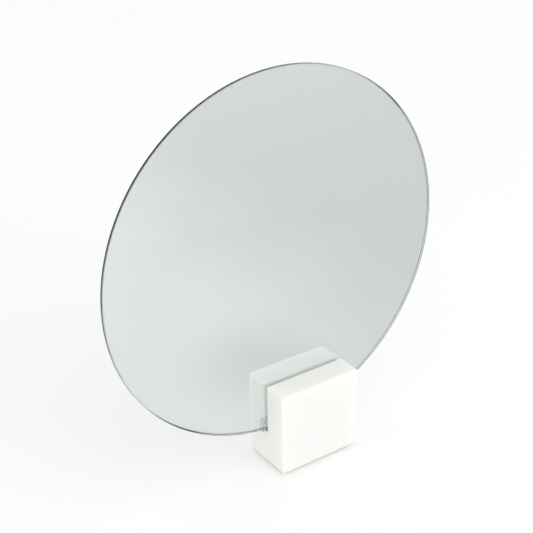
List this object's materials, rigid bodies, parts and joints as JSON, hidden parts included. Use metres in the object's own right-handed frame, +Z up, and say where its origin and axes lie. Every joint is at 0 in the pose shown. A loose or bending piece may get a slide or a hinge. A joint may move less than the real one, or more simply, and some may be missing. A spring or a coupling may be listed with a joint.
{
  "type": "countertop mirror",
  "caption": "Round frameless glass mirror standing upright in a slot across a small white marble block, set off to one side of the block, with a clear sleeve on its rim; the disc lifts out.",
  "frame": {"origin": "on the surface the feet stand on, under the centre of the disc and at mid-depth of the block", "axes": "+Z up, -Y the way the reflecting side faces, +X to the right seen from the front, the side on which the block sits"},
  "size_m": [0.3, 0.048, 0.334],
  "materials": {
    "marble": "honed white marble with faint grey veins and softly rounded edges",
    "foot_rubber": "soft matte pale grey",
    "clear_vinyl": "clear, soft, glossy",
    "clear_glass": "clear float glass, faintly green, with a ground and polished rim",
    "silvering": "specular silver",
    "backing_paint": "satin grey protective paint",
    "film": "satin pale grey self-adhesive safety film"
  },
  "bodies": {
    "base": {"stone_base": "marble", "foot_front_left": "foot_rubber", "foot_front_right": "foot_rubber", "foot_rear_left": "foot_rubber", "foot_rear_right": "foot_rubber"},
    "sleeve": {"edge_sleeve": "clear_vinyl"},
    "mirror": {"mirror_glass": "clear_glass", "silver_layer": "silvering", "back_paint": "backing_paint", "safety_film": "film"}
  },
  "joints": [
    {"name": "mirror_lift", "type": "slide", "parent": "base", "child": "sleeve", "axis": [0, 0, 1], "range_m": [0, 0.06]},
    {"name": "mirror_turn", "type": "hinge", "parent": "sleeve", "child": "mirror", "pos_m": [0, 0, 0.18405], "axis": [0, 1, 0], "continuous": true}
  ]
}
